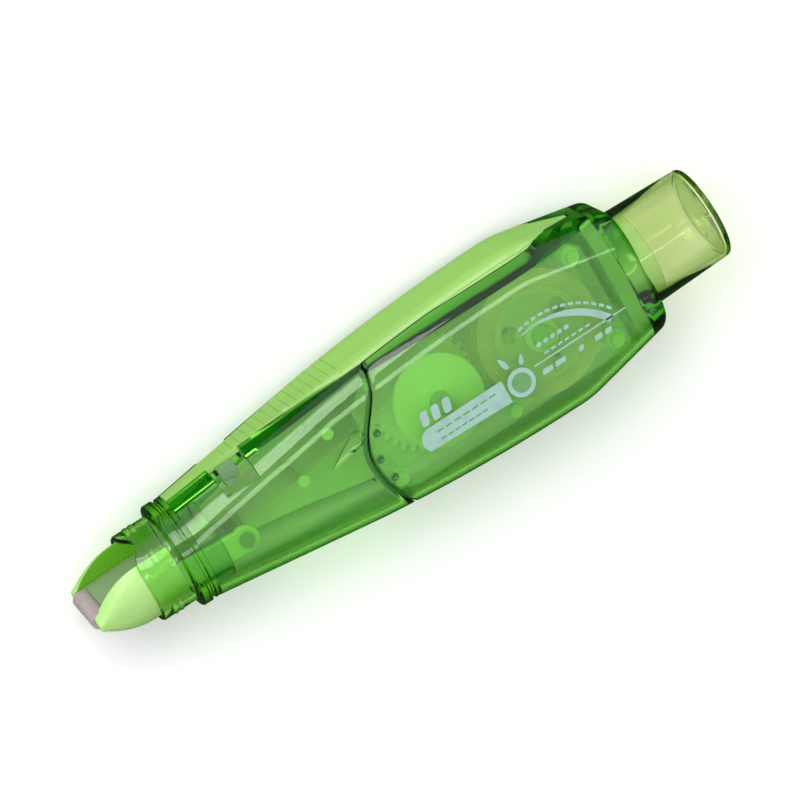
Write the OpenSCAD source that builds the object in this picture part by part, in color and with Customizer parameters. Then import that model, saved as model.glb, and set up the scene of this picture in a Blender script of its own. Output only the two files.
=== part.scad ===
// Pen-shaped tape roller: a translucent two-part casing with a spine, a posted cap,
// and a tape cartridge whose geared reels feed a ribbon round a small tip roller.
// X runs along the pen from the tip (-) to the cap (+), +Y is the spine side, +Z is up.

/* [Overall] */
// Length from the tape at the tip to the end of the posted cap
overall_length = 137; // [135:0.5:140]
// Thickness of the body across its two broad faces
body_thickness = 21.8; // [21.6:0.1:22.6]
// Wall thickness of the casings
wall = 1.3; // [1:0.1:1.5]

/* [Body outline] */
// Half height of the body where it meets the nose collar
front_half_height = 10.5; // [10.3:0.1:10.8]
// Rise of the outline per millimetre behind the collar
front_slope = 0.111; // [0.1:0.001:0.115]
// Fall of the outline per millimetre behind the crown
rear_slope = 0.22; // [0.18:0.01:0.24]
// Depth of the spine strip below the body's outline
spine_depth = 1.3; // [1.1:0.1:1.5]

/* [Tape and reels] */
// Width of the tape
tape_width = 8; // [7.8:0.1:8.2]
// Modelled thickness of a free run of tape
tape_thick = 0.1; // [0.08:0.02:0.14]
// Outer radius of the wound supply tape
supply_tape_r = 12; // [10:0.5:12]
// Outer radius of the wound used tape
takeup_tape_r = 6; // [5.4:0.2:6.4]

/* [Tip] */
// Turn of the tip about the pen's axis, in degrees
tip_turn = 21; // [15:1:27]
// Radius of the tip roller
roller_r = 1.65; // [1.5:0.05:1.7]

/* [Cap and neck] */
// Outer radius of the neck
neck_r = 8.95; // [8.8:0.05:8.95]
// Outer radius of the cap at its mouth
cap_mouth_r = 9.9; // [9.8:0.05:9.95]
// Length of the cap
cap_length = 20.9; // [20.6:0.1:21.2]

/* [Hidden] */

$fn = 96;
gear_module = 0.6;
supply_teeth = 39;
takeup_teeth = 36;
gap = 0.15;                               // space between parts that slide off each other
seam_gap = 0.3;                           // space between the two casings along their seam
fit = 0.05;                               // radial clearance of pins and posts
half_thick = body_thickness / 2;          // the body rests on its back at z = 0
tip_x = -overall_length / 2;
cap_end_x = overall_length / 2;

// stations along the pen
neck_front_x = tip_x + 11.8;
bead_x = tip_x + 15.9;
flange_front_x = tip_x + 19.4;
casing_front_x = tip_x + 23.3;
window_x = tip_x + 35.8;
grip_x = [tip_x + 36.6, tip_x + 61.8];
rail_x = tip_x + 67;
straight_end_x = tip_x + 60.5;
takeup_x = tip_x + 75.4;
crown_x = tip_x + 98.5;
fall_x = tip_x + 102.5;
hood_x = tip_x + 101.5;
tongue_x = tip_x + 114.3;
bulkhead_x = tip_x + 113.1;
socket_x = cap_end_x - cap_length - 0.1;
casing_rear_x = tip_x + 120;
stub_end_x = tip_x + 122.8;

// ---------------------------------------------------------------- body outline
straight_rise = front_slope * (straight_end_x - casing_front_x);
arch_rise = front_slope * (crown_x - straight_end_x) / 2;
crown_half_height = front_half_height + straight_rise + arch_rise;

// Half height of the body: a straight flank, a shallow arch, and a straight fall
function half_height(x) =
    x < straight_end_x ? front_half_height + front_slope * (x - casing_front_x)
    : x < crown_x ? crown_half_height
        - front_slope * pow(crown_x - x, 2) / (2 * (crown_x - straight_end_x))
    : x < fall_x ? crown_half_height - rear_slope * pow(x - crown_x, 2) / (2 * (fall_x - crown_x))
    : crown_half_height - rear_slope * (fall_x - crown_x) / 2 - rear_slope * (x - fall_x);

// 1 at the round front end of the body, 0 where it has become a rounded box
function roundness(x) = min(1, max(0, (tip_x + 56.5 - x) / 33));
function half_depth(x) = half_thick - 0.3 * min(1, max(0, (tip_x + 43.5 - x) / 20));
function corner_y(x) = 8 + 2.2 * roundness(x);
function corner_z(x) = 6.5 + 3.9 * roundness(x);

// Steps round the section, as [corner, angle, part of the way over the broad face after it].
// Each corner has its own two end points, so the angles 90, 180 and 270 come twice.
arc_steps = 7;
face_steps = 5;
steps_round = [for (q = [0 : 3])
    each concat([for (i = [0 : arc_steps]) [q, 90 * (q + i / arc_steps), 0]],
                q % 2 == 0 ? [for (k = [1 : face_steps - 1]) [q, 90 * (q + 1), k / face_steps]] : [])];

// Point i of the section at x, as [y, z]: inset by d, and cut level at y = top
function ring_point(x, d, i, top) =
    let (q = steps_round[i][0], a = steps_round[i][1], f = steps_round[i][2],
         h = half_height(x) - d, t = half_depth(x) - d,
         ry = corner_y(x) - d, rz = corner_z(x) - d,
         start = top >= h ? 0 : acos((top - (h - ry)) / ry),
         turn = q == 0 ? start + a * (90 - start) / 90
              : q == 3 ? 270 + (a - 270) * (90 - start) / 90 : a,
         sy = q == 0 || q == 3 ? 1 : -1,
         sz = q < 2 ? 1 : -1)
    [sy * (h - ry) * (1 - 2 * f) + ry * cos(turn), sz * (t - rz) + rz * sin(turn)];

// The wavy seam between the two casings, as x at height y
seam_low_y = -2.6;
seam_low_x = tip_x + 58;
function seam_x(y) =
    y > seam_low_y ? seam_low_x + 3.8 * (1 - cos(min(180, 180 * (y - seam_low_y) / 16.3)))
    : seam_low_x + 3.75 * pow((seam_low_y - y) / 11.2, 2);
function seam_at(d, i, top, x = -7, passes = 3) =
    passes == 0 ? x : seam_at(d, i, top, seam_x(ring_point(x, d, i, top)[0]), passes - 1);

// ---------------------------------------------------------------- lofts
// A closed skin through rings of points; a loop joins the last ring to the first, and
// splits each four-sided patch along its shorter diagonal
module skin(rings, loop = false) {
    n = len(rings[0]);
    m = len(rings);
    points = [for (r = rings) each r];
    sides = [for (k = [0 : m - (loop ? 1 : 2)], i = [0 : n - 1])
        let (p = k * n, q = ((k + 1) % m) * n, j = (i + 1) % n,
             one = norm(points[p + i] - points[q + j]), other = norm(points[p + j] - points[q + i]))
        each !loop || one <= other + 0.001 ? [[p + i, q + i, q + j], [p + i, q + j, p + j]]
                                           : [[p + i, q + i, p + j], [p + j, q + i, q + j]]];
    ends = loop ? [] : [[for (i = [0 : n - 1]) i], [for (i = [n - 1 : -1 : 0]) (m - 1) * n + i]];
    polyhedron(points = points, faces = concat(sides, ends), convexity = 8);
}

// A ring of the body section at x, inset by d, cut level at top
function body_ring(x, d, top) = [for (i = [0 : len(steps_round) - 1])
    let (p = ring_point(x, d, i, top)) [x, p[0], p[1]]];

// A ring of the front casing, part f of the way to the seam, its top level depth below the body's
function front_ring(f, d, depth) = [for (i = [0 : len(steps_round) - 1])
    let (xs = seam_at(d, i, half_height(-5) - depth),
         x = casing_front_x + f * (xs - casing_front_x),
         p = ring_point(x, d, i, half_height(x) - depth))
    [x, p[0], p[1]]];

// ---------------------------------------------------------------- casings
front_steps = 9;
module front_casing() {
    outer = [for (k = [0 : front_steps]) front_ring(k / front_steps, 0, 0)];
    inner = [for (k = [front_steps : -1 : 0]) front_ring(k / front_steps, wall, spine_depth + wall)];
    color([0.35, 0.72, 0.25, 0.6])
    difference() {
        skin(concat(outer, inner), loop = true);
        skin_space(0);
        for (side = [-1, 1]) latch_window(side);
    }
}

window_length = 7;
window_y = [6.9, 14];
window_z = [2.5, 12];                     // from under the spine strip out through the wall
module latch_window(side) {
    translate([window_x - window_length / 2, window_y[0], side < 0 ? -window_z[1] : window_z[0]])
        cube([window_length, window_y[1] - window_y[0], window_z[1] - window_z[0]]);
}

rear_round = 2;
rear_lip = 3.4;                           // the shoulder closes in on the cap by this much
deck_y = [11.8, 12.5];                    // solid deck that carries the spine's rail
rear_steps = 10;
module rear_casing() {
    flat_to = casing_rear_x - rear_round;
    outer = [for (k = [0 : rear_steps]) rear_ring(flat_to, k / rear_steps, 0, 99)];
    rounded = [for (a = [30, 60, 90])
        body_ring(flat_to + rear_round * sin(a), rear_round * (1 - cos(a)), 99)];
    inner = [for (k = [rear_steps : -1 : 0]) rear_ring(socket_x, k / rear_steps, wall, deck_y[0])];
    mouth = [body_ring(casing_rear_x, rear_lip, 99), body_ring(socket_x + 1, rear_lip, 99)];
    color([0.38, 0.75, 0.28, 0.6])
    difference() {
        skin(concat(outer, rounded, mouth, inner), loop = true);
        translate([socket_x, 0, 0]) rotate([0, 90, 0]) cylinder(r = cap_mouth_r + gap, h = 8);
        skin_space(0);
        rail_space(0);
    }
}

// A ring of the rear casing between the seam and x1
function rear_ring(x1, f, d, top) = [for (i = [0 : len(steps_round) - 1])
    let (xs = seam_at(d, i, top) + seam_gap, x = xs + f * (x1 - xs), p = ring_point(x, d, i, top))
    [x, p[0], p[1]]];

// ---------------------------------------------------------------- spine
rail_half = 7.5;
shoulder_y = 15;
// Half width of the strip along the pen: narrow at the collar, with a flange each side behind the seam
strip_sides = [[casing_front_x - 5, 1.9], [tip_x + 36, 3], [tip_x + 50, 5.2], [tip_x + 62, 7.5],
               [tip_x + 65.2, 7.7], [tip_x + 65.6, 8.8], [hood_x, 8.8]];
rail_sides = [[rail_x - 3, rail_half], [hood_x, rail_half]];

// Height of the strip's lower edge: it follows the outline, then runs level
function edge_y(x) = x > crown_x ? shoulder_y : min(shoulder_y, half_height(x) - spine_depth);

// Plan of the strip between its sides, then tapering to the tongue's tip under the hood
module tongue_plan(sides, less) {
    n = len(sides);
    polygon(concat([for (p = sides) [p[0], p[1] - less]],
                   [[tongue_x - less * 3, 0.5], [tongue_x - less * 3, -0.5]],
                   [for (i = [n - 1 : -1 : 0]) [sides[i][0], less - sides[i][1]]]));
}

module upright(y0, y1) {
    translate([0, y1, 0]) rotate([90, 0, 0]) linear_extrude(y1 - y0) children();
}

// The spaces that the strip and its rail fill, shrunk by less on their sliding faces
module skin_space(less) {
    edge = [for (x = [casing_front_x - 5, -30, straight_end_x, -2, 3, 8, 13, crown_x, tongue_x + 1])
        [x, edge_y(x) + less]];
    intersection() {
        upright(0, 30) tongue_plan(strip_sides, less);
        translate([0, 0, -20]) linear_extrude(40)
            polygon(concat(edge, [[tongue_x + 1, 20], [casing_front_x - 5, 20]]));
    }
}

module rail_space(less) {
    intersection() {
        upright(deck_y[1] + less, 20) tongue_plan(rail_sides, less);
        translate([rail_x - 3 + (less > 0 ? 3 : 0), 0, -10]) cube([60, 30, 20]);
    }
}

module spine_grip() {
    stations = [casing_front_x + 0.1, -37, -30, -23, -16, straight_end_x, -3, 3, 9, 15, 21,
                crown_x - 4, crown_x, fall_x, 38, 42, tongue_x + 0.5];
    color([0.57, 0.79, 0.40])
    difference() {
        intersection() {
            skin([for (x = stations) body_ring(x, 0, 99)]);
            union() {
                skin_space(0.12);
                rail_space(0.12);
                for (side = [-1, 1]) latch_hook(side);
            }
        }
        // hollow under the rail
        upright(deck_y[1], shoulder_y - 0.2)
            translate([rail_x + 1.5, -rail_half + 1.5]) square([30, 2 * rail_half - 3]);
        // grip ribs: shallow grooves across the thumb rest
        for (x = [grip_x[0] : 1.8 : grip_x[1]])
            translate([x, half_height(x) - 0.25, 0]) rotate([0, 0, atan(front_slope)])
                translate([-0.35, 0, -10]) cube([0.7, 2, 20]);
    }
}

// A tab from the strip into the window, with a leg down inside the casing and a foot
hook_length = 3.4;
module latch_hook(side) {
    translate([window_x - 2, 0, 0])
        for (part = [[hook_length, [10.95, 11.6], [2.4, 5.4]], [hook_length, [7.6, 11.6], [4.2, 5.4]],
                     [1.6, [7.4, 8.4], [4.4, 7]]])
            translate([0, part[1][0], side < 0 ? -part[2][1] : part[2][0]])
                cube([part[0], part[1][1] - part[1][0], part[2][1] - part[2][0]]);
}

// ---------------------------------------------------------------- nose and cap
bead_r = neck_r + 0.15;
flange_r = 10.6;
bore_r = 7.9;
plug_r = 9.1;
plug_top = front_half_height - spine_depth - wall - 0.1;
scoop_turn = tip_turn + 10;
module along_x(x) {
    translate([x, 0, 0]) rotate([90, 0, 90]) children();
}

module nose_collar() {
    length = casing_front_x - neck_front_x;
    bead = bead_x - neck_front_x;
    flange = flange_front_x - neck_front_x;
    color([0.72, 0.85, 0.52, 0.7])
    difference() {
        along_x(neck_front_x) rotate_extrude() polygon([
            [bore_r, 0], [neck_r - 0.25, 0], [neck_r, 0.4],
            [neck_r, bead - 0.6], [bead_r, bead - 0.2], [bead_r, bead + 0.2], [neck_r, bead + 0.6],
            [neck_r, flange], [flange_r - 0.3, flange], [flange_r, flange + 0.3],
            [flange_r, flange + 2], [flange_r - 0.5, flange + 2.2], [flange_r - 0.5, flange + 2.7],
            [flange_r - 0.1, flange + 2.9], [flange_r - 0.1, length - 0.05], [plug_r, length - 0.05],
            [plug_r, length + 3.8], [plug_r - 0.4, length + 4.2], [bore_r, length + 4.2]]);
        // scoop in the rim above the tape
        rotate([scoop_turn, 0, 0]) translate([neck_front_x - 0.8, neck_r - 0.45, 0])
            rotate([90, 0, 0]) cylinder(r = 3.2, h = 4, center = true);
        // the plug is cut flat under the casing's level top
        translate([casing_front_x - 0.1, plug_top, -15]) cube([10, 10, 30]);
    }
}

stub_r = 8.85;
module end_plug() {
    color([0.4, 0.74, 0.3, 0.6])
    union() {
        skin([body_ring(bulkhead_x, wall + 0.1, deck_y[0] - 0.1),
              body_ring(socket_x - 0.2, wall + 0.1, deck_y[0] - 0.1)]);
        difference() {
            along_x(socket_x - 0.2) cylinder(r = stub_r, h = stub_end_x - socket_x + 0.2);
            along_x(socket_x + 0.8) cylinder(r = stub_r - 1, h = 20);
        }
    }
}

cap_end_r = 9.25;
cap_wall = 0.65;
cap_end_wall = 1;
vent_r = [5.6, 6.9];
bump_x = cap_end_x - cap_length + 8.2;
function cap_r(x) = cap_mouth_r - (cap_mouth_r - cap_end_r) * x / cap_length;
module cap() {
    round_r = 0.8;
    inner_end = cap_length - cap_end_wall;
    color([0.74, 0.86, 0.52, 0.55])
    difference() {
        union() {
            along_x(cap_end_x - cap_length) rotate_extrude() polygon(concat(
                [[0, inner_end], [cap_r(inner_end) - cap_wall, inner_end],
                 [cap_mouth_r - cap_wall, 0.3], [cap_mouth_r - cap_wall + 0.2, 0],
                 [cap_mouth_r - 0.15, 0], [cap_mouth_r, 0.2]],
                [for (a = [0 : 22.5 : 90])
                    [cap_end_r - round_r + round_r * cos(a), cap_length - round_r + round_r * sin(a)]],
                [[0, cap_length]]));
            // snap bumps that click over the neck's rim
            for (turn = [-8, 112, 232]) rotate([turn, 0, 0])
                translate([bump_x, 0, cap_r(8.2) - cap_wall + 0.1]) rotate([0, 90, 0])
                    cylinder(r = 0.45, h = 1.2, center = true);
        }
        // two vent slots through the end wall
        for (turn = [30, 210]) rotate([turn, 0, 0])
            along_x(inner_end + cap_end_x - cap_length - 0.1)
                rotate_extrude(angle = 50) translate([vent_r[0], 0])
                    square([vent_r[1] - vent_r[0], cap_end_wall + 0.5]);
    }
}

// ---------------------------------------------------------------- cartridge frame
reel_y = -1;
supply_x = takeup_x + gear_module * (supply_teeth + takeup_teeth) / 2;
plate_z = [-7.4, -6.2];
cover_z = [6, 7];
gear_z = [-5.9, -4.3];
post_r = 2;
peg_r = 1.2;
stem_x = tip_x + 31.9;
stem_y = -2.8;
pin_r = 0.9;
pegs = [[41, 8.6], [41, -9.4], [18, -10], [-6.4, -9]];
guides = [[-14, 5.2], [-22, 0.2]];
guide_r = 1.3;

module slab(z) {
    translate([0, 0, z[0]]) linear_extrude(z[1] - z[0]) children();
}
module rod(p, r, z) {
    translate([p[0], p[1], z[0]]) cylinder(r = r, h = z[1] - z[0]);
}

module plate_outline(front) {
    polygon(concat(front, [[-2, 11], [41.9, 11], [43.3, 9.6], [43.3, -10.6], [42.2, -11.7],
                           [-4, -11.7]]));
}

module base_plate() {
    nose = [[-12, -9.8], [-24, -7.4], [stem_x - 4, -5], [stem_x - 4, 2.5], [-24, 6.6], [-12, 8.8]];
    color([0.50, 0.78, 0.40, 0.7])
    difference() {
        union() {
            slab(plate_z) plate_outline(nose);
            for (x = [takeup_x, supply_x]) rod([x, reel_y], post_r, [plate_z[1] - 0.2, 6.8]);
            for (p = pegs) {
                rod(p, peg_r + 0.6, [plate_z[1] - 0.2, cover_z[0] - fit]);
                rod(p, peg_r, [plate_z[1] - 0.2, cover_z[1] + 0.3]);
            }
            for (p = guides) rod(p, guide_r, [plate_z[1] - 0.2, -4.2]);
        }
        rod([stem_x, stem_y], pin_r + fit, [-9, 0]);
        for (p = guides) rod(p, 0.55, [-9, 0]);
        // lightening windows under the reels
        for (x = [takeup_x, supply_x], turn = [0, 120, 240])
            translate([x, reel_y, -9]) rotate([0, 0, turn + 30]) translate([6.3, 0, 0])
                cylinder(r = 1.9, h = 4);
    }
}

module cover_plate() {
    front = [[-8.6, -9.8], [-8.6, 6.4], [-5.5, 9.5]];
    color([0.78, 0.88, 0.68, 0.4])
    difference() {
        slab(cover_z) plate_outline(front);
        for (x = [takeup_x, supply_x]) rod([x, reel_y], post_r + fit, [0, 10]);
        for (p = pegs) rod(p, peg_r + fit, [0, 10]);
    }
}

// Two steel pins that steer the free runs of tape
module guide_pins() {
    color([0.8, 0.8, 0.82])
    for (p = guides) {
        rod(p, 0.5, [plate_z[0], 5]);
        rod(p, 1.1, [4.6, 5.2]);
    }
}

module stem_pin() {
    color([0.8, 0.8, 0.82])
    union() {
        rod([stem_x, stem_y], pin_r, [plate_z[0], 6.6]);
        rod([stem_x, stem_y], pin_r + 0.5, [6.15, 6.8]);
    }
}

// ---------------------------------------------------------------- tip
roller_x = tip_x + roller_r + 0.05 + tape_thick;
carrier_back_x = flange_front_x - 1;
cheek_in = 4.35;
// Half width across the cheeks and half thickness of the tip, at x
function tip_part(x) = min(1, max(0, (x - roller_x) / (neck_front_x + 1 - roller_x)));
function tip_half_width(x) = 6.6 + 1.1 * sin(90 * tip_part(x));
function tip_half_thick(x) = 1.9 + 5.8 * sin(90 * pow(tip_part(x), 0.85));

module tip_carrier() {
    nose = [for (a = [80, 50, 20]) [roller_x - 0.95 * sin(a), 0.4 + 0.6 * cos(a)]];
    body = [for (x = [roller_x : 1.2 : neck_front_x + 1.4]) [x, 1]];
    stations = concat(nose, body, [[carrier_back_x, 1]]);
    color([0.66, 0.88, 0.48])
    union() {
        rotate([tip_turn, 0, 0]) difference() {
            skin([for (s = stations) tip_ring(s[0], s[1])]);
            // recess over the tape, and the return run below it
            translate([tip_x - 1, 0.9, -cheek_in]) cube([30, 20, 2 * cheek_in]);
            translate([tip_x - 1, -20.9, -cheek_in]) cube([30, 20, 2 * cheek_in]);
            // room for the roller and its pin
            translate([tip_x - 2, -3, -cheek_in]) cube([5.6, 6, 2 * cheek_in]);
            translate([roller_x, 0, -10]) cylinder(r = 0.6, h = 20);
        }
        for (side = [-1, 1]) stem_arm(side);
    }
}

// A superellipse, squarish at the tip and round in the neck; s draws in the nose
function tip_ring(x, s) = [for (i = [0 : 31])
    let (a = 360 * i / 32, xr = max(x, roller_x), e = 0.55 + 0.45 * tip_part(xr))
    [x, tip_half_thick(xr) * s * sign(cos(a)) * pow(abs(cos(a)), e),
        tip_half_width(xr) * (0.9 + 0.1 * s) * sign(sin(a)) * pow(abs(sin(a)), e)]];

// Flat arms that carry the tip from the cartridge's nose, either side of the tape
module stem_arm(side) {
    arm_z = side > 0 ? [4.7, 6] : [-6.1, -4.7];
    difference() {
        slab(arm_z) union() {
            translate([carrier_back_x - 2, -4.2]) square([stem_x - carrier_back_x + 2, 4.6]);
            translate([stem_x, stem_y]) circle(r = 2.6);
        }
        rod([stem_x, stem_y], pin_r + fit, [-9, 9]);
    }
}

module tip_roller() {
    color([0.68, 0.64, 0.64])
    rotate([tip_turn, 0, 0]) translate([roller_x, 0, 0]) difference() {
        cylinder(r = roller_r, h = 2 * cheek_in - 0.3, center = true);
        cylinder(r = 0.6, h = 20, center = true);
    }
}

module roller_pin() {
    color([0.82, 0.82, 0.82])
    rotate([tip_turn, 0, 0]) translate([roller_x, 0, 0])
        cylinder(r = 0.6 - fit, h = 12.8, center = true);
}

// ---------------------------------------------------------------- reels
function rad(a) = a * PI / 180;
function involute(a) = tan(a) - rad(a);
function tooth_half(z, r) = let (rp = gear_module * z / 2, rb = rp * cos(20))
    (90 / z) * 0.86 + (involute(20) - involute(acos(min(1, rb / r)))) * 180 / PI;

// Involute gear outline with a little backlash
module gear_outline(z) {
    rp = gear_module * z / 2;
    base = rp * cos(20);
    root = min(rp - 0.75, base - 0.05);
    flank = [for (k = [0 : 3]) base + (rp + 0.5 - base) * k / 3];
    foot = tooth_half(z, base);
    tooth = concat([[root, -foot]], [for (r = flank) [r, -tooth_half(z, r)]],
                   [for (k = [3 : -1 : 0]) [flank[k], tooth_half(z, flank[k])]], [[root, foot]]);
    polygon([for (i = [0 : z - 1], p = tooth)
        [p[0] * cos(p[1] + 360 * i / z), p[0] * sin(p[1] + 360 * i / z)]]);
}

spin_fit = 0.06;                          // radial clearance of the reels on their posts
hub_r = 3.2;
core_r = 8.5;
tape_z = [-tape_width / 2, tape_width / 2];
module at_reel(x) {
    translate([x, reel_y, 0]) children();
}
module ring(r0, r1, z) {
    translate([0, 0, z[0]]) difference() {
        cylinder(r = r1, h = z[1] - z[0]);
        translate([0, 0, -1]) cylinder(r = r0, h = z[1] - z[0] + 2);
    }
}

// Gear with its long spindle sleeve
module supply_gear() {
    color([0.86, 0.90, 0.84])
    at_reel(supply_x) difference() {
        union() {
            slab(gear_z) gear_outline(supply_teeth);
            rod([0, 0], hub_r, [gear_z[0], 5.6]);
        }
        rod([0, 0], post_r + spin_fit, [-9, 9]);
        for (turn = [0 : 60 : 300]) rotate([0, 0, turn]) rod([6.2, 0], 1.9, [-9, -4]);
    }
}

// Friction ring that lets the supply core slip on its gear
module clutch_ring() {
    color([0.25, 0.27, 0.25]) at_reel(supply_x) ring(hub_r + 0.02, 4.4, [-4.25, -3.05]);
}

module supply_core() {
    color([0.80, 0.86, 0.78])
    at_reel(supply_x) union() {
        ring(hub_r + fit, 4.5, [-3, 4]);
        ring(core_r - 0.9, core_r, tape_z);
        difference() {
            ring(4, core_r - 0.5, [-0.6, 0.6]);
            for (turn = [0 : 72 : 288]) rotate([0, 0, turn]) rod([6.05, 0], 1.2, [-2, 2]);
        }
    }
}

module supply_tape() {
    color([0.62, 0.60, 0.48]) at_reel(supply_x) ring(core_r + 0.02, supply_tape_r, tape_z);
}

// Thin disc over the supply core, with two raised tabs and three windows
module supply_flange() {
    color([0.80, 0.90, 0.72, 0.6])
    at_reel(supply_x) union() {
        difference() {
            ring(hub_r + fit, core_r + 0.3, [4.2, 4.8]);
            for (turn = [30, 150, 270]) rotate([0, 0, turn]) rod([6, 0], 1.7, [4, 5]);
        }
        for (turn = [90, 270]) rotate([0, 0, turn])
            translate([core_r - 0.8, -1.1, 4.7]) cube([0.8, 2.2, 0.6]);
    }
}

module takeup_gear() {
    color([0.55, 0.82, 0.42])
    at_reel(takeup_x) difference() {
        union() {
            slab(gear_z) gear_outline(takeup_teeth);
            rod([0, 0], 5, [gear_z[0], 4]);
        }
        rod([0, 0], post_r + spin_fit, [-9, 9]);
        ring(3, 4.2, [-3.5, 9]);
    }
}

module takeup_tape() {
    color([0.75, 0.72, 0.62]) at_reel(takeup_x) ring(5.02, takeup_tape_r, tape_z);
}

module takeup_disc() {
    color([0.52, 0.86, 0.36])
    at_reel(takeup_x) union() {
        ring(post_r + spin_fit, 8.8, [4.1, 5]);
        ring(post_r + spin_fit, 3.2, [4.9, 5.7]);
        ring(3.05, 4.15, [2.5, 4.2]);
    }
}

// ---------------------------------------------------------------- free runs of tape
// Where a line from p meets the top of a circle about c tangentially
function tangent_top(p, c, r) = let (d = c - p, a = atan2(d[1], d[0]) + asin(r / norm(d)))
    [c[0] - r * sin(a), c[1] + r * cos(a)];

twist_x = [carrier_back_x, guides[1][0] - 2];
function twist(x) = tip_turn * min(1, max(0, (twist_x[1] - x) / (twist_x[1] - twist_x[0])));

// A ribbon through stations [x, height, angle of its outer face]; it turns with the tip
module ribbon(stations) {
    half_w = tape_width / 2;
    half_t = tape_thick / 2;
    skin([for (s = stations) let (t = twist(s[0]),
            n = [0, cos(t), sin(t)], w = [0, -sin(t), cos(t)],
            c = [s[0], 0, 0] + s[1] * n,
            out = cos(s[2]) * n - [sin(s[2]), 0, 0])
        [c + half_w * w + half_t * out, c - half_w * w + half_t * out,
         c - half_w * w - half_t * out, c + half_w * w - half_t * out]]);
}

pin_clear = 0.5 + 0.1;
wrap_r = roller_r + 0.05 + tape_thick / 2;
function between(p, q, n) = [for (k = [1 : n]) [p[0] + (q[0] - p[0]) * k / n,
                                                p[1] + (q[1] - p[1]) * k / n, 0]];

// From the supply reel over a guide pin to the roller, and half way round it
module feed_tape() {
    guide = [guides[0][0], guides[0][1] + pin_clear];
    start = tangent_top(guide, [supply_x, reel_y], supply_tape_r + 0.1);
    entry = [carrier_back_x, 2.2];
    color([0.86, 0.88, 0.84])
    ribbon(concat([[start[0], start[1], 0], [guide[0], guide[1], 0]],
                  between(guide, [twist_x[1], 4.9], 1), between([twist_x[1], 4.9], entry, 8),
                  [for (a = [0 : 15 : 90]) [roller_x - wrap_r * sin(a), wrap_r * cos(a), a]]));
}

// From the front of the roller back to the take-up reel
module return_tape() {
    guide = [guides[1][0], guides[1][1] + pin_clear];
    end = tangent_top(guide, [takeup_x, reel_y], takeup_tape_r + 0.1);
    exit = [carrier_back_x, -1.4];
    color([0.80, 0.82, 0.80])
    ribbon(concat([for (a = [91, 106, 121, 136, 151, 166, 180])
                       [roller_x - wrap_r * sin(a), wrap_r * cos(a), a]],
                  [for (p = between([roller_x, -wrap_r], exit, 1)) [p[0], p[1], 180]],
                  [for (p = between(exit, [twist_x[1], 0.6], 8)) [p[0], p[1], 180]],
                  [[guide[0], guide[1], 180], [end[0], end[1], 180]]));
}

// ---------------------------------------------------------------- all pieces, resting on z = 0
module on_its_back() {
    translate([0, 0, half_thick]) children();
}

on_its_back() rear_casing();
on_its_back() end_plug();
on_its_back() cap();
on_its_back() base_plate();
on_its_back() cover_plate();
on_its_back() guide_pins();
on_its_back() stem_pin();
on_its_back() tip_carrier();
on_its_back() roller_pin();
on_its_back() feed_tape();
on_its_back() return_tape();
on_its_back() supply_gear();
on_its_back() clutch_ring();
on_its_back() supply_core();
on_its_back() supply_tape();
on_its_back() supply_flange();
on_its_back() takeup_gear();
on_its_back() takeup_disc();
on_its_back() takeup_tape();
on_its_back() tip_roller();
on_its_back() front_casing();
on_its_back() nose_collar();
on_its_back() spine_grip();
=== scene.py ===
"""Looks of a pen-shaped tape roller: clear green casings over a geared tape cartridge.

Lengths below are in millimetres about the pen's axis, as in the CAD part: X runs from the tip to
the posted cap, +Y is the spine side and +Z faces up. place() turns them into metres in the frame.
"""
import bpy
import bmesh
import math
from mathutils import Matrix, Vector


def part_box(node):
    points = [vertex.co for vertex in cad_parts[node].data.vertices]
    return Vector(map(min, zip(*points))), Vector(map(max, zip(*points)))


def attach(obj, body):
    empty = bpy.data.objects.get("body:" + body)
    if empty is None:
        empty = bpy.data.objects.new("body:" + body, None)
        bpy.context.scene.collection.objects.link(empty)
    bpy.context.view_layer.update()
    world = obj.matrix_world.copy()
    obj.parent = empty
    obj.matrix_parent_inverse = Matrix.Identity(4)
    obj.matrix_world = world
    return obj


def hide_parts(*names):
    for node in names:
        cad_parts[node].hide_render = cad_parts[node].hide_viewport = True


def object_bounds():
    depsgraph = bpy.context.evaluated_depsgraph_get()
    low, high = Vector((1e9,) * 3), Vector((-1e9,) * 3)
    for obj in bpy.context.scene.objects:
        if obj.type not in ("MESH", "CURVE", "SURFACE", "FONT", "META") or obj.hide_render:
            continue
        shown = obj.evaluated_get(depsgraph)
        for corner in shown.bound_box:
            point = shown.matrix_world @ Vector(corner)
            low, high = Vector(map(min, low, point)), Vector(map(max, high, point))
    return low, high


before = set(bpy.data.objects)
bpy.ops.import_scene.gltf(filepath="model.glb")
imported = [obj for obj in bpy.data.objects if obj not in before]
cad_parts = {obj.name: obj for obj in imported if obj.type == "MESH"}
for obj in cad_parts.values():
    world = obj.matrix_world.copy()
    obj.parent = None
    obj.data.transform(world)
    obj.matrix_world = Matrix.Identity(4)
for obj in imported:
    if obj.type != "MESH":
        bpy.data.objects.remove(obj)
cad_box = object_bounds()

# ------------------------------------------------------------------ sizes, from the CAD nodes
MM = 0.001
AXIS_Z = 0.5 * (cad_box[0][2] + cad_box[1][2]) / MM
HALF_THICK = 0.5 * (cad_box[1][2] - cad_box[0][2]) / MM


def span(node, axis=0):
    """Lowest and highest value of a CAD node along an axis, in mm about the pen's axis."""
    low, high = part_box(node)
    shift = AXIS_Z if axis == 2 else 0.0
    return low[axis] / MM - shift, high[axis] / MM - shift


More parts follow.
